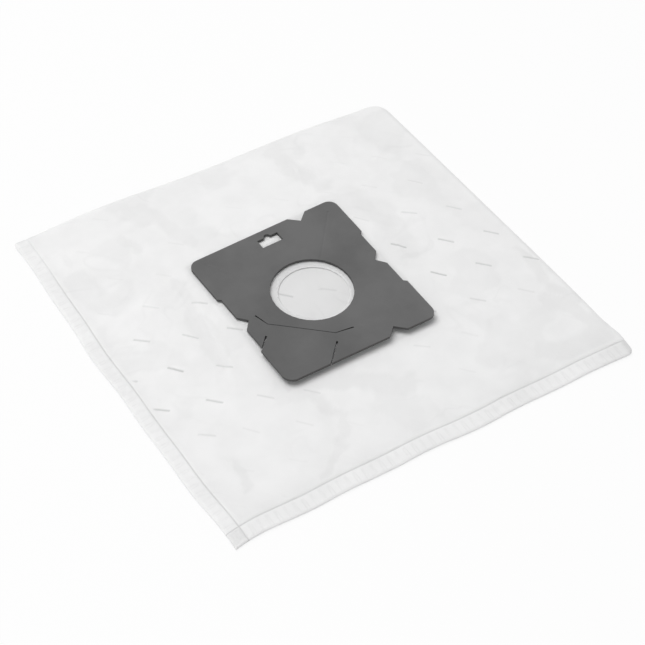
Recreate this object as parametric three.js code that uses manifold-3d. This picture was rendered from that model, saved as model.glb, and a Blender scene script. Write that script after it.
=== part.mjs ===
// Vacuum dust bag: a square fleece bag that lies on its back panel, slightly puffed, with a die-cut
// collar plate glued round its intake. The web is folded at the right and back edges and welded at
// the left and front edges. Millimetres, +Z up, X along the front seam, Y away from it. The origin
// is on the ground under the middle of the bag.
import * as THREE from 'three';
import { mergeVertices } from 'three/addons/utils/BufferGeometryUtils.js';
import Module from 'manifold-3d';

const wasm = await Module();
wasm.setup();

// Bag, outside sizes as it lies
const bagWidth = 282;
const bagLength = 280;
const bagHeight = 10;
const backFoldHeight = 6.8;
const rightFoldHeight = 6.2;
const foldRound = 5;
const foldReach = 60;
const fleeceThickness = 1.1;

// Welded seams along the left and front edges
const leftBandWidth = 9;
const frontBandWidth = 11;
const bandThickness = 1;
const weldLineWidth = 1.4;
const weldLineThickness = 0.4;
const seamSwell = 15;
const seamLift = 1.4;
const liftReach = 24;

// Short cross welds, pressed into the bands between the weld line and the raw edge
const crossWeldPitch = 5.75;
const crossWeldWidth = 1.6;
const crossWeldDepth = 0.25;
const rawEdgeMargin = 1.4;
const weldLineMargin = 2.6;

// Plan outline of the soft edges
const farCornerRadius = 13;
const bandCornerRadius = 5;
const leftCornerRadius = 2;
const leftEdgeBow = 2.6;
const frontEdgeBow = 2.8;
const nearTipLength = 16;

// Soft shape of the panels
const backPuffHeight = 1.3;
const backPuffLength = 158;
const backPuffX = -85;
const riseShare = 0.5;
const waveHeight = 0.45;
const waveLength = 74;
const waveSlant = 0.6;
const panelCells = 26;
const liningCells = 18;

// Fineness of the skin: how far the grid stays fine beside a weld line, the distances of its lines
// from a fold as shares of the fold's radius, the least height of the folded edge as a share of the
// bag's, and the least height of the hollow
const seamStep = 4.2;
const foldShares = [1.8, 1, 0.6, 0.3, 0.08, 0];
const foldEdge = 0.12;
const innerGap = 0.2;

// Collar plate, turned, tilted and warped as it lies on the bag
const collarWidth = 108;
const collarLength = 117;
const collarThickness = 1.7;
const collarCornerRadius = 6.5;
const collarX = -3.1;
const collarY = 0.5;
const collarTurnDegrees = 1.15;
const collarTiltDegreesX = 1.4;
const collarTiltDegreesY = -0.8;
const collarWarp = 1.5;
const collarCells = 12;
const sheetMargin = 2;
const glueGap = 0.3;
const glueRadius = 40;
const glueEdge = 24;
const collarOverhang = 1.2;

// Intake, a hole in the collar over a smaller one in the front panel
const intakeRadius = 26;
const intakeX = -0.4;
const intakeY = -1.5;
const fleeceRim = 4;
const fleeceHoleX = 0.9;
const fleeceHoleY = -0.9;
const holeSteps = 72;

// Notches in the collar's four edges
const endNotchHalfWidth = 6.6;
const endNotchDepth = 5.8;
const backNotchX = 26.3;
const frontNotchX = 24.6;
const recessDepth = 2;
const recessRamp = 1.6;
const recessHalfLength = 25.2;
const sideNotchHalfWidth = 6;
const sideNotchDepth = 5;
const leftNotchY = -3;
const rightNotchY = -0.8;

// Key slot near the collar's back edge
const slotWidth = 14.8;
const slotDepth = 7.2;
const slotX = 0.6;
const slotInset = 6.3;
const slotBumpRadius = 2.2;

// Slits that mark off the flap at the collar's near corner, and that open towards their free ends
const slitWidth = 0.4;
const flapSlitWidth = 0.9;
const openSlitWidth = 1.2;
const flapSlit = [[-41.6, -2.2], [-39.1, -11.7], [-8.4, -39.2], [3.3, -40.9]];
const leftSlitLength = 9.3;
const frontSlitX = -24.3;
const frontSlitLength = 17.8;

// Scores pressed into the collar's face, each from one point to the other
const scoreWidth = 2.2;
const scoreDepth = 0.15;
const scoreStep = 8;
const scores = [
  [[-44.6, 52.5], [-31.9, 32.1]],
  [[45.5, 50.2], [17.2, 16.3]],
  [[50.3, -54.2], [19, -17.3]],
  [[24.9, -54], [2.8, -39.1]],
  [[-52.8, 2.7], [-41.6, -2.2]],
];

// A closed geometry as a solid that can be cut
function solid(geometry) {
  const bare = geometry.clone();
  bare.deleteAttribute('normal');
  bare.deleteAttribute('uv');
  const merged = mergeVertices(bare, 1e-5);
  return new wasm.Manifold(new wasm.Mesh({
    numProp: 3,
    vertProperties: new Float32Array(merged.attributes.position.array),
    triVerts: new Uint32Array(merged.index.array),
  }));
}

function meshOf(manifold, name, material) {
  const cut = manifold.getMesh();
  const geometry = new THREE.BufferGeometry();
  geometry.setAttribute('position', new THREE.BufferAttribute(cut.vertProperties, 3));
  geometry.setIndex(new THREE.BufferAttribute(cut.triVerts, 1));
  geometry.computeVertexNormals();
  const mesh = new THREE.Mesh(geometry, material);
  mesh.name = name;
  return mesh;
}

// Where the collar lies: the middle of its underside, and its turn and tilts
const collarMiddle = new THREE.Vector3(collarX, collarY, bagHeight + glueGap);
const collarRotation = new THREE.Euler(
  THREE.MathUtils.degToRad(collarTiltDegreesX),
  THREE.MathUtils.degToRad(collarTiltDegreesY),
  THREE.MathUtils.degToRad(collarTurnDegrees),
  'ZYX',
);
const collarPose = new THREE.Matrix4().makeRotationFromEuler(collarRotation).setPosition(collarMiddle);
const collarNormal = new THREE.Vector3(0, 0, 1).transformDirection(collarPose);
const intakeMiddle = new THREE.Vector3(intakeX, intakeY, 0).applyMatrix4(collarPose);

// Height of the warped board over its own flat plane: near and far corners up, the other two down
function warp(across, along) {
  return 4 * collarWarp * across * along / (collarWidth * collarLength);
}

// Height of the collar's underside over a point of the ground, carried on level past its edges
function collarUnderside(x, y) {
  const from = new THREE.Vector2(x - collarMiddle.x, y - collarMiddle.y);
  const flat = collarMiddle.z - (from.x * collarNormal.x + from.y * collarNormal.y) / collarNormal.z;
  from.rotateAround(new THREE.Vector2(), -collarRotation.z);
  const across = THREE.MathUtils.clamp(from.x, -collarWidth / 2, collarWidth / 2);
  const along = THREE.MathUtils.clamp(from.y, -collarLength / 2, collarLength / 2);
  return flat + warp(across, along);
}

function blend(from, to, value) {
  return THREE.MathUtils.smoothstep(value, from, to);
}

// How far a panel has swollen at a distance from its weld line: 0 at the line, 1 far inside
function swell(distance) {
  return 1 - Math.exp(-Math.max(distance, 0) / seamSwell);
}

// Quarter round of a fold: 0 on the fold, 1 where the panel has its full height
function quarterRound(distance) {
  const left = 1 - THREE.MathUtils.clamp(distance / foldRound, 0, 1);
  return Math.sqrt(1 - left * left);
}

// Height that the front panel would have without the seams: it carries the collar round the intake,
// hangs clear of the collar's outer edge, follows a share of its rise over the bag's height, and
// comes down to the folds
function panelHeight(x, y, fromRight, fromBack) {
  const fromIntake = Math.hypot(x - intakeMiddle.x, y - intakeMiddle.y);
  const outside = blend(glueRadius, glueRadius + glueEdge, fromIntake);
  const wave = Math.sin(2 * Math.PI * (x + waveSlant * y) / waveLength)
    * Math.sin(2 * Math.PI * (y - waveSlant * x) / waveLength);
  const seat = collarUnderside(x, y) - glueGap;
  const level = bagHeight + waveHeight * wave + riseShare * Math.max(seat - bagHeight, 0);
  const hanging = Math.min(seat, level) - collarOverhang;
  const middle = THREE.MathUtils.lerp(seat, hanging, outside);
  const puff = Math.cos(2 * Math.PI * (x - backPuffX) / backPuffLength);
  const backHeight = backFoldHeight + backPuffHeight * puff;
  const back = THREE.MathUtils.lerp(backHeight, middle, blend(0, foldReach, fromBack));
  return THREE.MathUtils.lerp(rightFoldHeight, back, blend(0, foldReach, fromRight));
}

// Distance between the bag's two outer faces at a distance u from the left edge and v from the front
function bagThickness(u, v) {
  const fromLeft = u - leftBandWidth;
  const fromFront = v - frontBandWidth;
  if (fromLeft === 0 || fromFront === 0) {
    return weldLineThickness;
  }
  if (fromLeft < 0 || fromFront < 0) {
    return bandThickness;
  }
  const [x, y] = plan(u, v);
  const walls = 2 * fleeceThickness;
  const grown = swell(fromLeft - weldLineWidth / 2) * swell(fromFront - weldLineWidth / 2);
  return walls + (panelHeight(x, y, bagWidth - u, bagLength - v) - walls) * grown;
}

// Outer heights of the bag at a grid point: raised along the seams, and rounded at the folds
function outerHeights(u, v) {
  const fromWeld = Math.max(Math.min(u - leftBandWidth, v - frontBandWidth), 0);
  const ground = seamLift * (1 - blend(0, liftReach, fromWeld));
  const round = Math.max(quarterRound(bagWidth - u) * quarterRound(bagLength - v), foldEdge);
  const half = bagThickness(u, v) / 2;
  return { top: ground + half * (1 + round), bottom: ground + half * (1 - round) };
}

// Heights of the hollow inside, one fleece thickness from the outer faces
function innerHeights(u, v) {
  const outer = outerHeights(u, v);
  const middle = (outer.top + outer.bottom) / 2;
  const half = Math.max((outer.top - outer.bottom) / 2 - fleeceThickness, innerGap / 2);
  return { top: middle + half, bottom: middle - half };
}

// Ground position of a grid point: rounded corners, a bowed left edge and a drawn-out near tip
function plan(u, v) {
  let across = u;
  let along = v;
  const pull = (radius, fromSide, fromEnd) => {
    const p = 1 - THREE.MathUtils.clamp(fromSide / radius, 0, 1);
    const q = 1 - THREE.MathUtils.clamp(fromEnd / radius, 0, 1);
    return [radius * p * (1 - Math.sqrt(1 - q * q / 2)), radius * q * (1 - Math.sqrt(1 - p * p / 2))];
  };
  const far = pull(farCornerRadius, bagWidth - u, bagLength - v);
  const right = pull(bandCornerRadius, bagWidth - u, v);
  const left = pull(leftCornerRadius, u, bagLength - v);
  across += left[0] - far[0] - right[0];
  along += right[1] - far[1] - left[1];
  const leftBow = leftEdgeBow * (1 - Math.sin(Math.PI * v / bagLength));
  const frontBow = frontEdgeBow * (1 - Math.exp(-u / nearTipLength));
  across += leftBow * (1 - u / bagWidth);
  along += frontBow * (1 - v / bagLength);
  return [across - bagWidth / 2, along - bagLength / 2];
}

// Stations of the grid: close together at a seam and at a fold, even between them
function stations(start, end, cells) {
  const first = start[start.length - 1];
  const last = end[0];
  const even = Array.from({ length: cells - 1 }, (_, i) => first + (last - first) * (i + 1) / cells);
  return [...start, ...even, ...end];
}

function outerStations(size, band) {
  const half = weldLineWidth / 2;
  const seam = [0, band / 2, band - half, band, band + half, band + seamStep];
  const fold = foldShares.map((share) => size - share * foldRound);
  return stations(seam, fold, panelCells);
}

function innerStations(size, band) {
  const seam = [band + weldLineWidth, band + seamStep];
  const fold = [size - foldRound, size - foldRound / 2, size - fleeceThickness];
  return stations(seam, fold, liningCells);
}

// Closed skin over a grid: an upper sheet, a lower sheet and the rim between them
function closedSkin(acrossStations, alongStations, heights) {
  const columns = acrossStations.length;
  const rows = alongStations.length;
  const positions = [];
  const index = [];
  for (const side of ['top', 'bottom']) {
    for (const v of alongStations) {
      for (const u of acrossStations) {
        const [x, y] = plan(u, v);
        positions.push(x, y, heights(u, v)[side]);
      }
    }
  }
  const upper = (i, j) => j * columns + i;
  const lower = (i, j) => columns * rows + j * columns + i;
  for (let j = 0; j < rows - 1; j += 1) {
    for (let i = 0; i < columns - 1; i += 1) {
      index.push(upper(i, j), upper(i + 1, j), upper(i + 1, j + 1));
      index.push(upper(i, j), upper(i + 1, j + 1), upper(i, j + 1));
      index.push(lower(i, j), lower(i + 1, j + 1), lower(i + 1, j));
      index.push(lower(i, j), lower(i, j + 1), lower(i + 1, j + 1));
    }
  }
  const rim = (from, to) => {
    index.push(lower(...from), lower(...to), upper(...to));
    index.push(lower(...from), upper(...to), upper(...from));
  };
  for (let i = 0; i < columns - 1; i += 1) {
    rim([i, 0], [i + 1, 0]);
    rim([i + 1, rows - 1], [i, rows - 1]);
  }
  for (let j = 0; j < rows - 1; j += 1) {
    rim([0, j + 1], [0, j]);
    rim([columns - 1, j], [columns - 1, j + 1]);
  }
  const geometry = new THREE.BufferGeometry();
  geometry.setAttribute('position', new THREE.Float32BufferAttribute(positions, 3));
  geometry.setIndex(index);
  return geometry;
}

// Long groove tool of four sides along Y, as deep below its middle as it is high above
function grooveTool(length, width, depth, steps = 1) {
  const tool = new THREE.CylinderGeometry(width / 2, width / 2, length, 4, steps);
  tool.scale(1, 1, 2 * depth / width);
  return tool;
}

// Tools for the cross welds of one band, from the corner square that the other band crosses to the
// fold at its far end
function crossWelds(band, size, otherBand, place) {
  const length = band - rawEdgeMargin - weldLineMargin;
  const depth = rawEdgeMargin + length / 2;
  const count = Math.floor((size - otherBand - 2 * crossWeldPitch) / crossWeldPitch);
  return Array.from({ length: count }, (_, i) => {
    const along = otherBand + (i + 1) * crossWeldPitch;
    return place(grooveTool(length, crossWeldWidth, crossWeldDepth), depth, along);
  });
}

// All the cross welds in the two bands' upper faces
function bandWelds() {
  const seat = (tool, u, v) => {
    const [x, y] = plan(u, v);
    tool.translate(x, y, outerHeights(u, v).top);
    return solid(tool);
  };
  const left = crossWelds(leftBandWidth, bagLength, frontBandWidth, (tool, depth, along) => {
    tool.rotateZ(Math.PI / 2);
    return seat(tool, depth, along);
  });
  const front = crossWelds(frontBandWidth, bagWidth, leftBandWidth, (tool, depth, along) => (
    seat(tool, along, depth)
  ));
  return wasm.Manifold.union([...left, ...front]);
}

// The fleece bag: outer skin less the hollow, with the front panel's hole under the intake
function fleeceBag() {
  const outer = closedSkin(
    outerStations(bagWidth, leftBandWidth),
    outerStations(bagLength, frontBandWidth),
    outerHeights,
  );
  const hollow = closedSkin(
    innerStations(bagWidth, leftBandWidth),
    innerStations(bagLength, frontBandWidth),
    innerHeights,
  );
  const holeRadius = intakeRadius - fleeceRim;
  const cutter = new THREE.CylinderGeometry(holeRadius, holeRadius, 2 * bagHeight, holeSteps);
  cutter.rotateX(Math.PI / 2);
  cutter.translate(
    intakeMiddle.x + fleeceHoleX,
    intakeMiddle.y + fleeceHoleY,
    bagHeight + 2 * fleeceThickness,
  );
  const fleece = new THREE.MeshStandardMaterial({ color: 0xeeeeec, roughness: 0.95, metalness: 0 });
  const web = solid(outer).subtract(solid(hollow)).subtract(solid(cutter)).subtract(bandWelds());
  return meshOf(web, 'fleece_bag', fleece);
}

// Outline of the collar, anticlockwise from the near corner
function collarOutline() {
  const right = collarWidth / 2;
  const back = collarLength / 2;
  const r = collarCornerRadius;
  const inner = right - recessDepth;
  const outline = new THREE.Shape();
  outline.moveTo(-right + r, -back);
  outline.lineTo(frontNotchX - endNotchHalfWidth, -back);
  outline.lineTo(frontNotchX, -back + endNotchDepth);
  outline.lineTo(frontNotchX + endNotchHalfWidth, -back);
  outline.lineTo(right - r, -back);
  outline.absarc(right - r, -back + r, r, -Math.PI / 2, 0, false);
  outline.lineTo(right, rightNotchY - recessHalfLength);
  outline.lineTo(inner, rightNotchY - recessHalfLength + recessRamp);
  outline.lineTo(inner, rightNotchY - sideNotchHalfWidth);
  outline.lineTo(inner - sideNotchDepth, rightNotchY);
  outline.lineTo(inner, rightNotchY + sideNotchHalfWidth);
  outline.lineTo(inner, rightNotchY + recessHalfLength - recessRamp);
  outline.lineTo(right, rightNotchY + recessHalfLength);
  outline.lineTo(right, back - r);
  outline.absarc(right - r, back - r, r, 0, Math.PI / 2, false);
  outline.lineTo(backNotchX + endNotchHalfWidth, back);
  outline.lineTo(backNotchX, back - endNotchDepth);
  outline.lineTo(backNotchX - endNotchHalfWidth, back);
  outline.lineTo(-right + r, back);
  outline.absarc(-right + r, back - r, r, Math.PI / 2, Math.PI, false);
  outline.lineTo(-right, leftNotchY + recessHalfLength);
  outline.lineTo(-inner, leftNotchY + recessHalfLength - recessRamp);
  outline.lineTo(-inner, leftNotchY + sideNotchHalfWidth);
  outline.lineTo(-inner + sideNotchDepth, leftNotchY);
  outline.lineTo(-inner, leftNotchY - sideNotchHalfWidth);
  outline.lineTo(-inner, leftNotchY - recessHalfLength + recessRamp);
  outline.lineTo(-right, leftNotchY - recessHalfLength);
  outline.lineTo(-right, -back + r);
  outline.absarc(-right + r, -back + r, r, Math.PI, 1.5 * Math.PI, false);
  return outline;
}

// Rectangular slot with a round bump in the middle of its back side
function keySlot() {
  const back = collarLength / 2 - slotInset;
  const left = slotX - slotWidth / 2;
  const right = slotX + slotWidth / 2;
  const slot = new THREE.Path();
  slot.moveTo(left, back - slotDepth);
  slot.lineTo(right, back - slotDepth);
  slot.lineTo(right, back);
  slot.lineTo(slotX + slotBumpRadius, back);
  slot.absarc(slotX, back, slotBumpRadius, 0, Math.PI, false);
  slot.lineTo(left, back);
  slot.lineTo(left, back - slotDepth);
  return slot;
}

// Bends a geometry that lies in the collar's flat plane to the board's warp
function bend(geometry) {
  const { position } = geometry.attributes;
  for (let i = 0; i < position.count; i += 1) {
    position.setZ(i, position.getZ(i) + warp(position.getX(i), position.getY(i)));
  }
  return solid(geometry);
}

// Cuts that go right through reach this high, so that they clear the warped board on both sides
const dieHeight = collarThickness + 3 * collarWarp;

function die(shape) {
  const tool = new THREE.ExtrudeGeometry(shape, {
    depth: dieHeight,
    curveSegments: holeSteps / 4,
    bevelEnabled: false,
  });
  tool.translate(0, 0, (collarThickness - dieHeight) / 2);
  return tool;
}

// Turns a tool that lies along Y from the origin so that it runs from one point to another
function lay(tool, from, to) {
  tool.rotateZ(Math.atan2(to[1] - from[1], to[0] - from[0]) - Math.PI / 2);
  tool.translate(from[0], from[1], 0);
  return tool;
}

function lengthBetween(from, to) {
  return Math.hypot(to[0] - from[0], to[1] - from[1]);
}

// Straight knife cut through the collar between two points, which may open towards the second
function knife(from, to, endWidth = slitWidth) {
  const end = lengthBetween(from, to) + endWidth / 2;
  const cut = new THREE.Shape();
  cut.moveTo(-slitWidth / 2, -slitWidth / 2);
  cut.lineTo(slitWidth / 2, -slitWidth / 2);
  cut.lineTo(endWidth / 2, end);
  cut.lineTo(-endWidth / 2, end);
  return solid(lay(die(cut), from, to));
}

// Shallow score in the collar's upper face
function score([from, to]) {
  const length = lengthBetween(from, to);
  const tool = grooveTool(length, scoreWidth, scoreDepth, Math.ceil(length / scoreStep));
  tool.translate(0, length / 2, collarThickness);
  return bend(lay(tool, from, to));
}

// The collar plate, die-cut from one sheet of board that has warped since
function collarPlate() {
  const outline = collarOutline();
  const intake = new THREE.Path();
  intake.absarc(intakeX, intakeY, intakeRadius, 0, 2 * Math.PI, false);
  outline.holes.push(intake, keySlot());
  const sheet = new THREE.BoxGeometry(
    collarWidth + sheetMargin,
    collarLength + sheetMargin,
    collarThickness,
    collarCells,
    collarCells,
  );
  sheet.translate(0, 0, collarThickness / 2);
  const slope = Math.SQRT1_2;
  const leftX = -collarWidth / 2 + recessDepth;
  const leftY = leftNotchY - recessHalfLength + recessRamp;
  const leftStart = [leftX - recessDepth * slope, leftY - recessDepth * slope];
  const leftEnd = [leftX + leftSlitLength * slope, leftY + leftSlitLength * slope];
  const frontY = -collarLength / 2;
  const frontStart = [frontSlitX - slitWidth, frontY - slitWidth];
  const frontEnd = [frontSlitX + frontSlitLength * slope, frontY + frontSlitLength * slope];
  const cuts = [
    knife(leftStart, leftEnd, openSlitWidth),
    knife(frontStart, frontEnd, openSlitWidth),
    knife(flapSlit[1], flapSlit[0], flapSlitWidth),
    knife(flapSlit[1], flapSlit[2]),
    knife(flapSlit[2], flapSlit[3], flapSlitWidth),
    ...scores.map(score),
  ];
  const plate = bend(sheet).intersect(solid(die(outline))).subtract(wasm.Manifold.union(cuts));
  const board = new THREE.MeshStandardMaterial({ color: 0x5d5d5e, roughness: 0.6, metalness: 0 });
  const mesh = meshOf(plate, 'collar_plate', board);
  mesh.position.copy(collarMiddle);
  mesh.rotation.copy(collarRotation);
  return mesh;
}

const dustBag = new THREE.Group();
dustBag.add(fleeceBag());
dustBag.add(collarPlate());

export default dustBag;
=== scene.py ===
"""Vacuum dust bag lying on a pale floor: a white fleece bag with a grey collar glued round its intake."""
import math

import bmesh
import bpy
import numpy as np
from mathutils import Matrix, Vector, noise


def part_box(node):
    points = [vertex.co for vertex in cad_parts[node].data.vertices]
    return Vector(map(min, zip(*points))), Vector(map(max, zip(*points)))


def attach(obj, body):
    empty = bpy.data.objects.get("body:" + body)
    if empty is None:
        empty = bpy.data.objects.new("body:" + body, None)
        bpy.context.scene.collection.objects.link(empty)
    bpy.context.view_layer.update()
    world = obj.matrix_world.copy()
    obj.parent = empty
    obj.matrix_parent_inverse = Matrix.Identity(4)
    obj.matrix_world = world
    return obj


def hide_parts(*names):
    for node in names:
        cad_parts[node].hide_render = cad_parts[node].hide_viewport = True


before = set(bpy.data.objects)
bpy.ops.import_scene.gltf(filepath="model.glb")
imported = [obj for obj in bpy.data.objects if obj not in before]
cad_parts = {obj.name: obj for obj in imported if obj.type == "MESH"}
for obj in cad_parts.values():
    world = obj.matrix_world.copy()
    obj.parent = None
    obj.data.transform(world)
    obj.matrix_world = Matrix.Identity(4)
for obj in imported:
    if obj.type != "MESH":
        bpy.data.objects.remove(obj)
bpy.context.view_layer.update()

# Fleece bag
# One web of spunbond polypropylene fleece, folded over at its right and back edges and welded to itself
# along the left and front ones, where a solid weld line and a row of short cross welds hold the raw
# edges. The loose layers are tacked together by short pressed marks all over. Lengths are in mm here.
MM = 0.001
web_low, web_high = (np.array(corner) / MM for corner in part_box("fleece_bag"))
web_width, web_length = np.round((web_high - web_low)[:2], 1)
web_thickness = 1.1
web_height = 10.0
back_fold_height = 6.8
right_fold_height = 6.2
fold_round = 5.0
fold_reach = 60.0

# Welded bands along the left and front edges
left_band = 9.0
front_band = 11.0
band_thickness = 1.0
weld_line_width = 1.4
weld_line_thickness = 0.8
seam_walls = 1.3
raw_edge = 0.3
raw_edge_taper = 0.7
seam_swell = 24.0
seam_lift = 0.9
lift_reach = 24.0
seam_ripples = ((0.4, 33, 21.5), (0.2, 13, 24.5))

# Outline as seen from above: rounded corners, edges that bow and wander, and a bulge of the fold
far_corner_radius = 13.0
band_corner_radius = 5.0
left_corner_radius = 2.0
left_edge_bow = 2.6
front_edge_bow = 2.8
near_tip_length = 16.0
edge_wave_height = 0.4
edge_wave_lengths = (9.5, 17.0)
edge_wave_reach = 30.0
fold_bulge = 1.7
fold_bulge_at = 16.0
fold_bulge_length = 9.0
back_puff_height = 1.3
back_puff_length = 158.0
back_puff_x = -85.0

# Where the collar lies, and how the two panels lie under it and sag away from it. A run is the span of
# distances over which something fades in or out.
collar_width = 108.0
collar_length = 117.0
collar_middle = np.array([-3.1, 0.5, 10.3])
collar_turn = math.radians(1.15)
collar_tilt_x = math.radians(1.4)
collar_tilt_y = math.radians(-0.8)
collar_warp = 1.5
glue_gap = 0.3
glue_radius = 40.0
glue_edge = 18.0
edge_gap = 0.35
front_gap = 3.0
front_gap_run = (20, 60)
panel_drop = 0.9
front_drop = 1.5
sag_run = (20, 75)
near_corner_way = (-0.6, -0.8)
collar_reach = 26.0
crumple_run = (2, 16)
rise_share = 0.5
inner_gap = 0.3
edge_thinning = 0.8
contact_gap = 0.5
least_hollow = 0.1
hole_blend = (5, 15)
arch_radius = 24.0
arch_run = 62.0
slot_middle = np.array([0.6, 48.6])
slot_half = np.array([6.6, 3.2])
slot_bulge = 1.5
intake_middle = np.array([-3.5, -1.0])
ring_sag = 0.6
ring_slope = 9.0
fleece_hole_radius = 22.0
fleece_hole_offset = np.array([0.9, -0.9])

# Pressed marks in slanting rows, strongest along one line of the web, and their slopes at the rim
mark_length = 10.5
mark_width = 1.0
mark_angle = math.radians(-45)
mark_depth = 0.45
inner_mark_depth = 0.15
mark_slope = 0.5
mark_end_slope = 0.6
mark_side_slope = 0.3
mark_stray = 0.06
faintest_mark = 0.4
mark_clearance = (1.5, 4)
mark_across = np.array([26.8, -11.5])
mark_along = np.array([7.5, -32.0])
mark_drift = np.array([0.33, 0.23])
front_mark = np.array([-59.5, -4.5])
back_mark = np.array([6.3, -5.4])
mark_scatter = 1.0
mark_edge_margin = 4.0
roller_line = -10.0
roller_line_width = 52.0
roller_side_reach = 60.0
roller_least = 0.08
back_mark_strength = 0.8

# Cross welds, and how much greyer than white each place is, from 0 to 1: welds, the weld line and marks by
# their fused film, and as painted shade the weld rims, fold edges, the band's folded end, round the collar,
# inside the bag and in crumple patches
cross_weld_pitch = 5.75
cross_weld_width = 1.8
cross_weld_depth = 0.16
left_weld_share = 0.85
weld_slopes = (-0.3, 0.4)
weld_outer_end = (0.6, 1.6)
weld_inner_end = (2, 3)
weld_rim_shade = 0.16
line_film = 0.62
line_width = 0.8
line_fade = 0.7
line_fade_reach = 75.0
corner_film = 0.2
fold_edge_shade = 0.3
fold_edge_shade_width = 1.5
folded_end_shade_strength = 0.5
folded_end_shade_run = (2, 5)
band_end_shade_strength = 0.17
band_end_shade_run = (5, 36)
collar_shade_strength = 0.25
collar_shade_reach = 3.0
hollow_shade = 0.36
crumple_shade_strength = 0.12
crumple_shade_share = 0.55

# Folds painted with shade as greyer bands: start, end and half width of each
shaded_folds = (
    ((-122, 84), (-112, 56), 9),
    ((-81, 106), (-77, 86), 3),
    ((-68, 128), (-60, 110), 5),
    ((-54, 122), (-44, 80), 7),
    ((-68, 48), (-79, -22), 5),
    ((44, 126), (52, 82), 9),
    ((66, 52), (74, 26), 8),
    ((-45, -72), (-44, -104), 4),
    ((-44, -104), (-74, -125), 3),
    ((-36, -65), (6, -88), 8),
    ((92, -112), (128, -121), 9),
    ((122, -76), (134, -116), 7),
    ((-110, -87), (-110, -107), 3),
    ((131, -32), (134, -88), 4),
)

# Lines of the mesh: the cell in the open field, and the distances of the closer ones from the raw edge,
# from the weld line and, as shares of its radius, from the fold
cell = 4.0
edge_lines = (0, 0.7, 2.4, 4.6)
beside_weld_line = 2.3
swell_lines = (1.7, 3.4, 5.8)
fold_shares = (1.8, 1.4, 1.1, 0.85, 0.6, 0.4, 0.22, 0.1, 0.03, 0)
refine_margin = 0.6
mark_margin = (1.4, 1.3)


def smooth(low, high, value):
    """Soft step from 0 at low to 1 at high."""
    share = np.clip((value - low) / (high - low), 0, 1)
    return share * share * (3 - 2 * share)


def field(x, y, size, layer):
    """Soft random field over the web, about -1 to 1, whose lumps are about size mm across."""
    return np.array([noise.noise((a / size, b / size, layer)) for a, b in zip(x, y)])


def summed(x, y, fields):
    """Sum of soft fields, each given as its height, size and layer."""
    return sum(height * field(x, y, size, layer) for height, size, layer in fields)


def edge_wave(run):
    """How far a raw edge wanders in or out along its run."""
    short, long = edge_wave_lengths
    return edge_wave_height * np.sin(run / short) + edge_wave_height * np.sin(run / long + 1)


def place(u, v):
    """Where a point of the web lies, from its distance to the left and the front edge."""
    def pull(radius, side, end):
        p = 1 - np.clip(side / radius, 0, 1)
        q = 1 - np.clip(end / radius, 0, 1)
        return radius * p * (1 - np.sqrt(1 - q * q / 2)), radius * q * (1 - np.sqrt(1 - p * p / 2))

    far = pull(far_corner_radius, web_width - u, web_length - v)
    right = pull(band_corner_radius, web_width - u, v)
    left = pull(left_corner_radius, u, web_length - v)
    across = u + left[0] - far[0] - right[0]
    along = v + right[1] - far[1] - left[1]
    left_bow = left_edge_bow * (1 - np.sin(np.pi * v / web_length))
    front_bow = front_edge_bow * (1 - np.exp(-u / near_tip_length))
    across = across + left_bow * (1 - u / web_width)
    across = across + edge_wave(v) * np.clip(1 - u / edge_wave_reach, 0, 1)
    along = along + front_bow * (1 - v / web_length)
    along = along + edge_wave(u) * np.clip(1 - v / edge_wave_reach, 0, 1)
    bulge = fold_bulge * np.exp(-(((v - fold_bulge_at) / fold_bulge_length) ** 2))
    across = across + bulge * np.clip(1 - (web_width - u) / edge_wave_reach, 0, 1)
    return across - web_width / 2, along - web_length / 2


collar_pose = (
    Matrix.Rotation(collar_turn, 3, "Z")
    @ Matrix.Rotation(collar_tilt_y, 3, "Y")
    @ Matrix.Rotation(collar_tilt_x, 3, "X")
)
collar_normal = np.array(collar_pose @ Vector((0, 0, 1)))


def from_line(x, y, start, end):
    """Distance to the line between two points, the share of its run, and which side it is on."""
    start, end = np.array(start), np.array(end)
    run = end - start
    share = np.clip(((x - start[0]) * run[0] + (y - start[1]) * run[1]) / (run @ run), 0, 1)
    off = np.hypot(x - start[0] - share * run[0], y - start[1] - share * run[1])
    return off, share, run[0] * (y - start[1]) > run[1] * (x - start[0])


def on_collar(x, y):
    """Place in the collar's own plane of a point of the ground."""
    off_x, off_y = x - collar_middle[0], y - collar_middle[1]
    cos, sin = math.cos(collar_turn), math.sin(collar_turn)
    return off_x * cos + off_y * sin, off_y * cos - off_x * sin


def collar_underside(x, y):
    """Height of the tilted and warped board's underside, carried on level past its edges."""
    across, along = on_collar(x, y)
    over = np.clip(across / collar_width, -0.5, 0.5) * np.clip(along / collar_length, -0.5, 0.5)
    run = (x - collar_middle[0]) * collar_normal[0] + (y - collar_middle[1]) * collar_normal[1]
    return collar_middle[2] - run / collar_normal[2] + 4 * collar_warp * over


def beyond_collar(x, y):
    """Distance outside the collar's outline, and 0 under it."""
    across, along = on_collar(x, y)
    over = np.maximum(np.abs(across) - collar_width / 2, 0)
    past = np.maximum(np.abs(along) - collar_length / 2, 0)
    return np.hypot(over, past)


def from_intake(x, y):
    """Distance to the middle of the intake."""
    return np.hypot(x - intake_middle[0], y - intake_middle[1])


def crease(x, y, start, end, width, depth, steep):
    """A soft valley between two points, deepest in its middle, whose left side may be steeper."""
    off, share, on_left = from_line(x, y, start, end)
    reach = np.where(on_left, width * steep, width)
    return -depth * np.exp(-((off / reach) ** 2)) * np.sin(np.pi * (0.15 + 0.7 * share))


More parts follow.
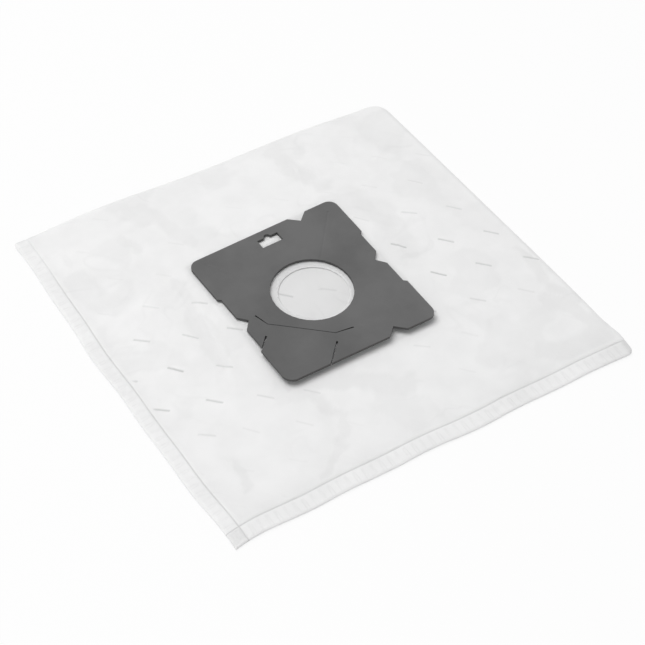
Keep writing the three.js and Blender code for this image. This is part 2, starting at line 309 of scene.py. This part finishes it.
# Long creases: start, end, width, depth and how wide the left side is beside the right one. The web lies
# calm round the first and longest of them.
long_creases = (
    ((-66, 52), (-79, -24), 9, 2.4, 0.3),
    ((-40, -70), (-50, -104), 6, 1.2, 1),
    ((-50, -104), (-74, -126), 6, 1.0, 1),
    ((-113, -84), (-104, -110), 4, 0.7, 1),
    ((-81, 104), (-75, 84), 4, 0.7, 1),
    ((-76, 130), (-52, 92), 7, 0.8, 1),
)
calm_middle = (-75, 14)
calm_half = (16, 42)
calm_fade = (0.5, 1.4)
wrinkle_height = 0.5


def crumple(x, y):
    """Soft lumps, crisper wrinkles in patches, and the few long creases that show most."""
    off_x, off_y = (x - calm_middle[0]) / calm_half[0], (y - calm_middle[1]) / calm_half[1]
    calm = smooth(*calm_fade, np.hypot(off_x, off_y))
    lumps = calm * summed(x, y, ((1.1, 44, 1.5), (0.45, 21, 4.5)))
    bend_x = x + summed(x, y, ((10, 36, 7.5),))
    bend_y = y + summed(x, y, ((10, 36, 9.5),))
    patch = smooth(-0.2, 0.4, field(x, y, 58, 12.5))
    wrinkles = np.clip(1 - 3 * np.abs(field(bend_x, bend_y, 19, 15.5)), 0, 1) ** 2
    fine = summed(x, y, ((0.1, 6, 18.5),))
    long = sum(crease(x, y, *line) for line in long_creases)
    return lumps + wrinkle_height * calm * patch * wrinkles + fine + long


def crumple_shade(x, y):
    """Painted shade of the crumples on the front panel: greyer patches with crisp edges, and greyer bands
    along the shaded folds.
    """
    bend_x = x + summed(x, y, ((7, 15, 31.5), (3, 6, 37.5)))
    bend_y = y + summed(x, y, ((7, 15, 33.5), (3, 6, 39.5)))
    patches = crumple_shade_share * smooth(0.1, 0.2, field(bend_x, bend_y, 30, 35.5))
    for start, end, width in shaded_folds:
        off = from_line(bend_x, bend_y, start, end)[0]
        patches = np.maximum(patches, 1 - smooth(0.7 * width, width + 1, off))
    return patches


def panel_height(x, y, from_right, from_back):
    """Height of the front panel without the seams: it carries the collar, lies close under it, and
    sags a little away from its front edge and near corner."""
    seat = collar_underside(x, y) - glue_gap
    hole_edge = 1 - smooth(fleece_hole_radius, fleece_hole_radius + ring_slope, from_intake(x, y))
    across, along = on_collar(x, y)
    near_corner = smooth(*sag_run, across * near_corner_way[0] + along * near_corner_way[1])
    gap = edge_gap + front_gap * np.maximum(smooth(*front_gap_run, -along), near_corner)
    in_slot = np.clip(1 - ((across - slot_middle[0]) / slot_half[0]) ** 2, 0, 1) * np.clip(
        1 - ((along - slot_middle[1]) / slot_half[1]) ** 2, 0, 1
    )
    under = seat - gap * smooth(glue_radius, glue_radius + glue_edge, from_intake(x, y))
    under = under - ring_sag * hole_edge + slot_bulge * in_slot
    beyond = beyond_collar(x, y)
    risen = web_height + rise_share * np.maximum(seat - web_height, 0)
    lying = np.minimum(seat, risen) - panel_drop - front_drop * smooth(*sag_run, -y)
    lying = lying + crumple(x, y) * smooth(*crumple_run, beyond)
    middle = under + (lying - under) * smooth(0, collar_reach, beyond)
    puff = back_puff_height * np.cos(2 * np.pi * (x - back_puff_x) / back_puff_length)
    back_height = back_fold_height + puff
    back = back_height + (middle - back_height) * smooth(0, fold_reach, from_back)
    return right_fold_height + (back - right_fold_height) * smooth(0, fold_reach, from_right)


def floor_rise(x, y):
    """How far the back panel arches up, to lie close below the front panel at the intake."""
    close = collar_underside(x, y) - glue_gap - ring_sag - 2 * web_thickness - inner_gap
    return close * (1 - smooth(arch_radius, arch_radius + arch_run, from_intake(x, y)))


def swell(distance):
    """How far a panel has swollen at a distance from its weld line: 0 at the line, 1 far inside."""
    share = np.maximum(distance, 0) / seam_swell
    return 1 - np.exp(-share * np.minimum(0.35 + share, 1))


def thickness(u, v, x, y):
    """Distance between the web's two outer faces."""
    from_left, from_front = u - left_band, v - front_band
    half_line = weld_line_width / 2
    grown = swell(from_left - half_line) * swell(from_front - half_line)
    full = seam_walls + (panel_height(x, y, web_width - u, web_length - v) - seam_walls) * grown
    off_line = np.minimum(np.abs(from_left), np.abs(from_front))
    band_rise = (band_thickness - weld_line_thickness) * smooth(0, half_line, off_line)
    panel_rise = (seam_walls - weld_line_thickness) * smooth(0, weld_line_width, off_line)
    on_band = (from_left < 0) | (from_front < 0)
    seam = weld_line_thickness + np.where(on_band, band_rise, panel_rise)
    seam = seam * (raw_edge + (1 - raw_edge) * smooth(0, raw_edge_taper, np.minimum(u, v)))
    inside = (from_left > half_line) & (from_front > half_line)
    return np.where(inside, full, seam)


least_round = 0.02


def outer_heights(u, v, x, y):
    """Heights of the web's upper and lower face: raised along the seams and rounded at the folds."""
    from_weld = np.maximum(np.minimum(u - left_band, v - front_band), 0)
    ground = (seam_lift + summed(x, y, seam_ripples)) * (1 - smooth(0, lift_reach, from_weld))
    sides = [np.clip(d / fold_round, 0, 1) for d in (web_width - u, web_length - v)]
    round_off = np.prod([np.sqrt(1 - (1 - side) ** 2) for side in sides], axis=0)
    round_off = np.maximum(round_off, least_round)
    half = thickness(u, v, x, y) / 2
    return ground + half * (1 + round_off), ground + half * (1 - round_off) + floor_rise(x, y)


def lattice(start):
    """Middles of the pressed marks on one panel, whose rows drift and stray a little."""
    scatter = np.random.default_rng(7)
    reach = range(-9, 10)
    steps = [(i, j) for i in reach for j in reach]
    spots = [
        start + i * mark_across + j * mark_along + (i * i + i * j + j * j) * mark_drift for i, j in steps
    ]
    spots = [spot + scatter.normal(0, mark_scatter, 2) for spot in spots]
    inside = np.array([web_width, web_length]) / 2 - mark_edge_margin
    return [spot for spot in spots if (np.abs(spot) < inside).all()]


def mark_press(x, y, marks):
    """How far a point is pressed in by the marks: up to 1 in a mark, 0 beside it."""
    pressed = np.zeros_like(x)
    unruly = np.random.default_rng(11)
    for spot, strength in marks:
        turn = mark_angle + unruly.normal(0, mark_stray)
        across = (x - spot[0]) * math.cos(turn) + (y - spot[1]) * math.sin(turn)
        off = (y - spot[1]) * math.cos(turn) - (x - spot[0]) * math.sin(turn)
        end, side = mark_length / 2, mark_width / 2
        inside = 1 - smooth(end - mark_end_slope, end + mark_slope, np.abs(across))
        inside = inside * (1 - smooth(side - mark_side_slope, side + mark_slope, np.abs(off)))
        pressed = np.maximum(pressed, unruly.uniform(faintest_mark, 1) * strength * inside)
    return pressed


def cross_weld_press(u, v):
    """How far the cross welds of the two seam bands press a point in."""
    pressed = np.zeros_like(u)
    for band, depth, along, strength in ((left_band, u, v, left_weld_share), (front_band, v, u, 1)):
        phase = np.abs((along / cross_weld_pitch) % 1 - 0.5) * cross_weld_pitch
        across = 1 - smooth(*(cross_weld_width / 2 + slope for slope in weld_slopes), phase)
        middle = smooth(*weld_outer_end, depth) * smooth(*weld_inner_end, band - depth)
        pressed = np.maximum(pressed, strength * across * middle)
    return pressed


def grid_lines(size, band):
    """Places of the mesh's lines across the web: close at the seam and at the fold."""
    half = weld_line_width / 2
    seam = [*edge_lines, band - beside_weld_line]
    seam += [band - half, band - half / 2, band, band + half / 2, band + half]
    seam += [band + off for off in swell_lines]
    fold = [size - fold_round * share for share in fold_shares]
    count = round((fold[0] - seam[-1]) / cell)
    return np.array(seam + list(np.linspace(seam[-1], fold[0], count + 1))[1:-1] + fold)


def flat_slab(across_lines, along_lines):
    """A flat slab of unit thickness on the given lines, ready to be shaped."""
    mesh = bmesh.new()
    columns, rows = len(across_lines) - 1, len(along_lines) - 1
    bmesh.ops.create_grid(mesh, x_segments=columns, y_segments=rows, size=0.5)
    for vert in mesh.verts:
        i, j = round((vert.co.x + 0.5) * columns), round((vert.co.y + 0.5) * rows)
        vert.co = (across_lines[i], along_lines[j], 1)
    grid = mesh.faces[:]
    made = bmesh.ops.extrude_face_region(mesh, geom=grid, use_keep_orig=True)
    upper = {e for e in made["geom"] if isinstance(e, bmesh.types.BMVert)}
    for vert in mesh.verts:
        if vert not in upper:
            vert.co.z = 0
    bmesh.ops.recalc_face_normals(mesh, faces=mesh.faces)
    return mesh


def refine(mesh, edges, cuts):
    """Cuts the edges, and the faces between them, into cuts + 1 parts."""
    bmesh.ops.subdivide_edges(mesh, edges=edges, cuts=cuts, use_grid_fill=True)


def refine_marks(mesh, spots, level, cuts, reach=None):
    """Finer faces where a mark is pressed into one side of the slab."""
    picked = set()
    for face in mesh.faces:
        middle = face.calc_center_median()
        if abs(middle.z - level) > 0.01:
            continue
        x, y = (float(c) for c in place(middle.x, middle.y))
        if reach and math.hypot(x - intake_middle[0], y - intake_middle[1]) > reach:
            continue
        for spot in spots:
            dx, dy = x - spot[0], y - spot[1]
            across = abs(dx * math.cos(mark_angle) + dy * math.sin(mark_angle))
            off = abs(dy * math.cos(mark_angle) - dx * math.sin(mark_angle))
            if across < mark_length / 2 + mark_margin[0] and off < mark_width / 2 + mark_margin[1]:
                picked.update(face.edges)
                break
    refine(mesh, [edge for edge in mesh.edges if edge in picked], cuts)


def shape(mesh, heights, name):
    """Moves the slab's points to their places and returns the object, with how grey each point is from fused
    film or painted shade.
    """
    data = bpy.data.meshes.new(name)
    mesh.to_mesh(data)
    mesh.free()
    slab = np.empty(len(data.vertices) * 3)
    data.vertices.foreach_get("co", slab)
    u, v, side = slab.reshape(-1, 3).T
    x, y = place(u, v)
    z, film_and_shade = heights(u, v, x, y, side > 0.5)
    data.vertices.foreach_set("co", (np.column_stack([x, y, z]) * MM).ravel())
    data.attributes.new("film_and_shade", "FLOAT", "POINT").data.foreach_set("value", film_and_shade)
    data.polygons.foreach_set("use_smooth", [True] * len(data.polygons))
    data.update()
    piece = bpy.data.objects.new(name, data)
    bpy.context.collection.objects.link(piece)
    return piece


def front_strength(spot):
    """The roller pressed hardest across the middle of the web, on both sides of the collar."""
    across = min(0.2 + abs(spot[0]) / roller_side_reach, 1)
    near = math.exp(-(((spot[1] - roller_line) / roller_line_width) ** 2)) * across
    return roller_least + (1 - roller_least) * near


front_spots = lattice(front_mark)
back_spots = lattice(back_mark)
front_marks = [(spot, front_strength(spot)) for spot in front_spots]
back_marks = [(spot, back_mark_strength) for spot in back_spots]


def skin_heights(u, v, x, y, upper):
    """Heights of the web's outer skin, and how much greyer its welds and marks are, with painted shade at the
    weld rims, fold edges, band end, round the collar and in crumple patches.
    """
    top, bottom = outer_heights(u, v, x, y)
    open_field = smooth(*mark_clearance, np.minimum(u - left_band, v - front_band))
    marks = np.where(upper, mark_press(x, y, front_marks), mark_press(x, y, back_marks)) * open_field
    welds = cross_weld_press(u, v)
    line = 1 - smooth(0, line_width, np.minimum(np.abs(u - left_band), np.abs(v - front_band)))
    line = line * (1 - line_fade * (1 - smooth(0, line_fade_reach, web_length - v)))
    from_fold = np.minimum(web_width - u, web_length - v)
    in_corner = (u < left_band) & (v < front_band)
    # Painted shade: the front band's folded end and the stretch where it bends down into the right fold are
    # greyer.
    folded_end_shade = (1 - smooth(*folded_end_shade_run, web_width - u)) * (v < front_band)
    band_end_shade = (1 - smooth(*band_end_shade_run, web_width - u)) * (v < front_band)
    depth = mark_depth * marks + cross_weld_depth * welds
    z = np.where(upper, top - depth, bottom + np.where(bottom > 0.01, depth, 0))
    # Painted shade: the fleece under the collar, seen in the intake ring and the key slot, and a narrow rim
    # round the collar are greyer.
    glued = collar_shade_strength * upper * (1 - smooth(0, collar_shade_reach, beyond_collar(x, y)))
    # Painted shade on the sloping rims of the cross welds.
    weld_slope_shade = 4 * welds * (1 - welds / np.where(v < front_band, 1, left_weld_share))
    film_and_shade = [marks, weld_rim_shade * weld_slope_shade + band_end_shade_strength * band_end_shade, line_film * line, glued]
    # Painted shade: greyer patches and bands along creases on the front panel.
    film_and_shade += [crumple_shade_strength * crumple_shade(x, y) * open_field * upper, corner_film * in_corner]
    # Painted shade: a thin greyer line along the rounded fold edges.
    film_and_shade += [folded_end_shade_strength * folded_end_shade, fold_edge_shade * (1 - smooth(0, fold_edge_shade_width, from_fold))]
    return z, np.maximum.reduce(film_and_shade)


def hollow_heights(u, v, x, y, upper):
    """Heights of the hollow, one web thickness inside the skin and nearly closed at the intake, and its grey:
    painted shade on the inner faces, and the back panel's marks.
    """
    top, bottom = outer_heights(u, v, x, y)
    middle = (top + bottom) / 2
    half = np.maximum((top - bottom) / 2 - web_thickness, least_hollow)
    share = 1 - smooth(*(fleece_hole_radius + off for off in hole_blend), from_intake(x, y))
    marks = np.where(upper, 0, mark_press(x, y, back_marks))
    ceiling = middle + half + edge_thinning * share
    ground = middle - half + (inner_gap + edge_thinning - contact_gap) * share - inner_mark_depth * marks
    # Painted shade: the hollow's inner faces are greyer than the skin.
    return np.where(upper, ceiling, ground), hollow_shade + (1 - hollow_shade) * marks


across_lines = grid_lines(web_width, left_band)
along_lines = grid_lines(web_length, front_band)
skin = flat_slab(across_lines, along_lines)
open_edges = [
    edge
    for edge in skin.edges
    if all(
        p.co.z > 0.5 and p.co.x > left_band + refine_margin and p.co.y > front_band + refine_margin
        for p in edge.verts
    )
]
refine(skin, open_edges, cuts=1)
band_edges = [
    edge
    for edge in skin.edges
    if (
        all(p.co.x < left_band - refine_margin for p in edge.verts)
        and abs(edge.verts[0].co.y - edge.verts[1].co.y) > 1
        or all(p.co.y < front_band - refine_margin for p in edge.verts)
        and abs(edge.verts[0].co.x - edge.verts[1].co.x) > 1
    )
]
refine(skin, band_edges, cuts=5)
refine_marks(skin, front_spots, level=1, cuts=3)
fleece_bag = shape(skin, skin_heights, "bag_web")

hollow_seam_lines = (1.4, 3.4)


def hollow_lines(size, band):
    """Places of the hollow's lines, from just inside the weld line to one web thickness from the fold."""
    seam = [band + off for off in hollow_seam_lines]
    fold = [size - fold_round, size - fold_round / 2, size - web_thickness]
    count = round((fold[0] - seam[-1]) / cell)
    return np.array(seam + list(np.linspace(seam[-1], fold[0], count + 1))[1:-1] + fold)


inside = flat_slab(hollow_lines(web_width, left_band), hollow_lines(web_length, front_band))
seen_through_intake = 40.0
refine_marks(inside, back_spots, level=0, cuts=5, reach=seen_through_intake)
hollow = shape(inside, hollow_heights, "bag_hollow")

# The hollow and a punch through the front panel are cut out of the skin.
punch = bmesh.new()
punch_height = 8.0
punch_segments = 96
gap_share_cut = 0.6
hole_x, hole_y = intake_middle + fleece_hole_offset
ring_top = collar_underside(hole_x, hole_y) - glue_gap - ring_sag
punch_foot = ring_top - (web_thickness - edge_thinning) - gap_share_cut * contact_gap
hole_radius = fleece_hole_radius * MM
bmesh.ops.create_cone(
    punch,
    cap_ends=True,
    segments=punch_segments,
    radius1=hole_radius,
    radius2=hole_radius,
    depth=punch_height * MM,
)
upright = Matrix.Translation((0, 0, punch_height / 2 * MM))
punch_place = Matrix.Translation(Vector((hole_x, hole_y, float(punch_foot))) * MM)
bmesh.ops.transform(punch, verts=punch.verts, matrix=punch_place @ collar_pose.to_4x4() @ upright)
punch_data = bpy.data.meshes.new("hole_punch")
punch.to_mesh(punch_data)
punch.free()
punch_tool = bpy.data.objects.new("hole_punch", punch_data)
bpy.context.collection.objects.link(punch_tool)

for tool in (hollow, punch_tool):
    cut = fleece_bag.modifiers.new(tool.name, "BOOLEAN")
    cut.operation = "DIFFERENCE"
    cut.solver = "MANIFOLD"
    cut.object = tool
bpy.context.view_layer.update()
evaluated_bag = fleece_bag.evaluated_get(bpy.context.evaluated_depsgraph_get())
cut_web = bpy.data.meshes.new_from_object(evaluated_bag)
fleece_bag.modifiers.clear()
fleece_bag.data = cut_web
for tool in (hollow, punch_tool):
    bpy.data.objects.remove(tool)

# Whites and greys are sRGB hex values; the fused fleece of welds and marks is greyer, and the same grey is
# painted as shade at folds, creases, round the collar and inside the bag.
fleece_white = "#F5F5F5"
fleece_cloud = "#F0F0F0"
fused_and_shade_grey = "#BEBEBE"


def linear(code):
    """Linear colour with full alpha from an sRGB hex code."""
    parts = [int(code[i:i + 2], 16) / 255 for i in (1, 3, 5)]
    return [*(c / 12.92 if c <= 0.04045 else ((c + 0.055) / 1.055) ** 2.4 for c in parts), 1]


def node(owner, kind, inputs=(), **settings):
    """Adds a node with its settings; an input is a value, or the socket that it is linked from."""
    made = owner.node_tree.nodes.new(kind)
    for name, value in settings.items():
        setattr(made, name, value)
    for name, value in dict(inputs).items():
        if isinstance(value, bpy.types.NodeSocket):
            owner.node_tree.links.new(value, made.inputs[name])
        else:
            made.inputs[name].default_value = value
    return made


def start_material(name):
    """A new material with an empty node tree."""
    material = bpy.data.materials.new(name)
    material.use_nodes = True
    material.node_tree.nodes.clear()
    return material


# Spunbond fleece: fine bonded fibres, matt white, slightly cloudy where the fibres lie thin, and with faint
# grey lines in patches that are painted shade of fine creases. Light goes a little way into its loose layers.
# The fibres are drawn far coarser than they are, so that they show.
cloud_size = 20 * MM
fibre_size = 0.7 * MM
wave_size = 34 * MM
crease_patch_size = 55 * MM
crease_shade_strength = 0.08
nap_depth = 0.12 * MM
light_depth = 3 * MM
spunbond = start_material("spunbond_fleece")
where = node(spunbond, "ShaderNodeTexCoord").outputs["Object"]
cloud = node(
    spunbond, "ShaderNodeTexNoise", {"Vector": where, "Scale": 1 / cloud_size, "Detail": 6, "Roughness": 0.5}
)
fibre = node(
    spunbond, "ShaderNodeTexNoise", {"Vector": where, "Scale": 1 / fibre_size, "Detail": 3, "Distortion": 1.6}
)
# The film attribute carries the fused grey of welds and marks and the painted shade.
film_and_shade = node(spunbond, "ShaderNodeAttribute", attribute_name="film_and_shade").outputs["Fac"]
waves = node(
    spunbond,
    "ShaderNodeTexNoise",
    {"Vector": where, "Scale": 1 / wave_size, "Detail": 1.5, "Distortion": 1.0},
)
from_crest = node(spunbond, "ShaderNodeMath", {0: waves.outputs["Fac"], 1: 0.5}, operation="SUBTRACT")
crest = node(spunbond, "ShaderNodeMath", {0: from_crest.outputs["Value"]}, operation="ABSOLUTE")
crease_line = node(
    spunbond,
    "ShaderNodeMapRange",
    {"Value": crest.outputs["Value"], "From Min": 0.0, "From Max": 0.045, "To Min": 1.0, "To Max": 0.0},
)
crease_patches = node(spunbond, "ShaderNodeTexNoise", {"Vector": where, "Scale": 1 / crease_patch_size, "Detail": 1})
crease_patch_share = node(
    spunbond, "ShaderNodeMapRange", {"Value": crease_patches.outputs["Fac"], "From Min": 0.5, "From Max": 0.62}
)
# Painted shade: thin grey crease lines in patches.
crease_shade = node(
    spunbond,
    "ShaderNodeMath",
    {0: crease_line.outputs["Result"], 1: crease_patch_share.outputs["Result"]},
    operation="MULTIPLY",
)
grey_and_shade = node(
    spunbond,
    "ShaderNodeMath",
    {0: crease_shade.outputs["Value"], 1: crease_shade_strength, 2: film_and_shade},
    operation="MULTIPLY_ADD",
)
cloud_mix = node(
    spunbond, "ShaderNodeMapRange", {"Value": cloud.outputs["Fac"], "From Min": 0.35, "From Max": 0.68}
)
white = node(
    spunbond,
    "ShaderNodeMix",
    {"Factor": cloud_mix.outputs["Result"], "A": linear(fleece_white), "B": linear(fleece_cloud)},
    data_type="RGBA",
)
colour = node(
    spunbond,
    "ShaderNodeMix",
    {"Factor": grey_and_shade.outputs["Value"], "A": white.outputs["Result"], "B": linear(fused_and_shade_grey)},
    data_type="RGBA",
)
nap = node(
    spunbond, "ShaderNodeBump", {"Height": fibre.outputs["Fac"], "Strength": 0.35, "Distance": nap_depth}
)
surface = node(
    spunbond,
    "ShaderNodeBsdfPrincipled",
    {
        "Base Color": colour.outputs["Result"],
        "Roughness": 0.92,
        "Specular IOR Level": 0.25,
        "Subsurface Weight": 0.25,
        "Subsurface Radius": (1, 1, 1),
        "Subsurface Scale": light_depth,
        "Sheen Weight": 0.08,
        "Sheen Roughness": 0.6,
        "Normal": nap.outputs["Normal"],
    },
)
node(spunbond, "ShaderNodeOutputMaterial", {"Surface": surface.outputs["BSDF"]})
fleece_bag.data.materials.clear()
fleece_bag.data.materials.append(spunbond)

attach(fleece_bag, "root")
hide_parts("fleece_bag")

# Collar plate
# Die-cut from grey solid board, glued to the front panel round the intake. Its shape is the imported model's
# own; the board gets faint tones and a tooth drawn coarser than it is, and its steep cut edges are painted
# darker as shade.
board_grey = "#5C5C5C"
board_pale = "#686868"
board_edge_shade = "#4E4E4E"
grain_size = 45 * MM
tooth_size = 0.6 * MM
tooth_depth = 0.05 * MM
board = start_material("grey_solid_board")
where = node(board, "ShaderNodeTexCoord").outputs["Object"]
grain = node(
    board, "ShaderNodeTexNoise", {"Vector": where, "Scale": 1 / grain_size, "Detail": 5, "Roughness": 0.55}
)
shade = node(
    board, "ShaderNodeMapRange", {"Value": grain.outputs["Fac"], "From Min": 0.36, "From Max": 0.64}
)
tooth = node(board, "ShaderNodeTexNoise", {"Vector": where, "Scale": 1 / tooth_size, "Detail": 2})
grey = node(
    board,
    "ShaderNodeMix",
    {"Factor": shade.outputs["Result"], "A": linear(board_grey), "B": linear(board_pale)},
    data_type="RGBA",
)
facing = node(board, "ShaderNodeNewGeometry").outputs["True Normal"]
up_facing = node(board, "ShaderNodeSeparateXYZ", {"Vector": facing}).outputs["Z"]
steepness = node(board, "ShaderNodeMath", {0: up_facing}, operation="ABSOLUTE")
# Painted shade: steep cut edges are darker than the faces.
edge_shade = node(
    board,
    "ShaderNodeMapRange",
    {"Value": steepness.outputs["Value"], "From Min": 0.2, "From Max": 0.6, "To Min": 1.0, "To Max": 0.0},
)
board_colour = node(
    board,
    "ShaderNodeMix",
    {"Factor": edge_shade.outputs["Result"], "A": grey.outputs["Result"], "B": linear(board_edge_shade)},
    data_type="RGBA",
)
press_grain = node(
    board, "ShaderNodeBump", {"Height": tooth.outputs["Fac"], "Strength": 0.25, "Distance": tooth_depth}
)
surface = node(
    board,
    "ShaderNodeBsdfPrincipled",
    {
        "Base Color": board_colour.outputs["Result"],
        "Roughness": 0.62,
        "Specular IOR Level": 0.35,
        "Normal": press_grain.outputs["Normal"],
    },
)
node(board, "ShaderNodeOutputMaterial", {"Surface": surface.outputs["BSDF"]})
collar_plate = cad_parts["collar_plate"]
collar_plate.data.materials.clear()
collar_plate.data.materials.append(board)

# Studio
# A pale floor and surroundings that the camera sees as plain white, a soft overall light, a large soft
# light high on the left, and the camera at the height and angle that the bag is seen from. Lengths are
# in metres here.
floor_half = 3.0
floor_drop = 0.0002
floor_white = "#F4F4F4"
floor_seen_share = 0.86
floor_mesh = bmesh.new()
bmesh.ops.create_grid(floor_mesh, x_segments=1, y_segments=1, size=floor_half)
bmesh.ops.translate(floor_mesh, verts=floor_mesh.verts, vec=(0, 0, -floor_drop))
floor_data = bpy.data.meshes.new("floor")
floor_mesh.to_mesh(floor_data)
floor_mesh.free()
floor = bpy.data.objects.new("floor", floor_data)
bpy.context.collection.objects.link(floor)

paper = start_material("white_backdrop_paper")
seen = node(paper, "ShaderNodeLightPath")
glossy_or_camera = node(
    paper,
    "ShaderNodeMath",
    {0: seen.outputs["Is Camera Ray"], 1: seen.outputs["Is Glossy Ray"]},
    operation="MAXIMUM",
)
share = node(
    paper, "ShaderNodeMath", {0: glossy_or_camera.outputs["Value"], 1: floor_seen_share}, operation="MULTIPLY"
)
matt = node(paper, "ShaderNodeBsdfDiffuse", {"Color": linear(floor_white)})
glow = node(paper, "ShaderNodeEmission", {"Color": linear("#FFFFFF"), "Strength": 1.0})
mixed = node(
    paper,
    "ShaderNodeMixShader",
    {0: share.outputs["Value"], 1: matt.outputs["BSDF"], 2: glow.outputs["Emission"]},
)
node(paper, "ShaderNodeOutputMaterial", {"Surface": mixed.outputs["Shader"]})
floor.data.materials.append(paper)

sky_strength = 0.5
sky_seen_white = "#FDFDFD"
world = bpy.data.worlds.new("soft_studio")
world.use_nodes = True
world.node_tree.nodes.clear()
sky = node(world, "ShaderNodeBackground", {"Color": linear("#FFFFFF"), "Strength": sky_strength})
sky_seen = node(world, "ShaderNodeBackground", {"Color": linear(sky_seen_white), "Strength": 1.0})
camera_ray = node(world, "ShaderNodeLightPath").outputs["Is Camera Ray"]
both = node(
    world,
    "ShaderNodeMixShader",
    {0: camera_ray, 1: sky.outputs["Background"], 2: sky_seen.outputs["Background"]},
)
node(world, "ShaderNodeOutputWorld", {"Surface": both.outputs["Shader"]})
bpy.context.scene.world = world

key_size = 2.0
key_watts = 41.5
key_place = Vector((-0.75, 0.45, 2.5))
key = bpy.data.lights.new("key", "AREA")
key.shape = "DISK"
key.size = key_size
key.energy = key_watts
key_lamp = bpy.data.objects.new("key", key)
bpy.context.collection.objects.link(key_lamp)
key_lamp.location = key_place
key_lamp.rotation_euler = (-key_place).to_track_quat("-Z", "Y").to_euler()

picture_width = 645
sensor_width = 36
focal_pixels = 1600.0
camera_azimuth = math.radians(-33.82)
camera_elevation = math.radians(45.67)
camera_roll = math.radians(2.11)
camera_distance = 0.97869
camera_target = Vector((-0.0068, -0.0187, 0))
nearest_seen = 0.05
furthest_seen = 20

camera = bpy.data.cameras.new("camera")
camera.sensor_width = sensor_width
camera.lens = focal_pixels * sensor_width / picture_width
camera_object = bpy.data.objects.new("camera", camera)
bpy.context.collection.objects.link(camera_object)
back = Vector(
    (
        math.sin(camera_azimuth) * math.cos(camera_elevation),
        -math.cos(camera_azimuth) * math.cos(camera_elevation),
        math.sin(camera_elevation),
    )
)
level = Vector((math.cos(camera_azimuth), math.sin(camera_azimuth), 0))
right = level * math.cos(camera_roll) + back.cross(level) * math.sin(camera_roll)
up = back.cross(right)
turn = Matrix((right, up, back)).transposed().to_4x4()
camera_object.matrix_world = Matrix.Translation(camera_target + back * camera_distance) @ turn
camera.clip_start = nearest_seen
camera.clip_end = furthest_seen
bpy.context.scene.camera = camera_object

bpy.context.scene.view_settings.view_transform = "Standard"
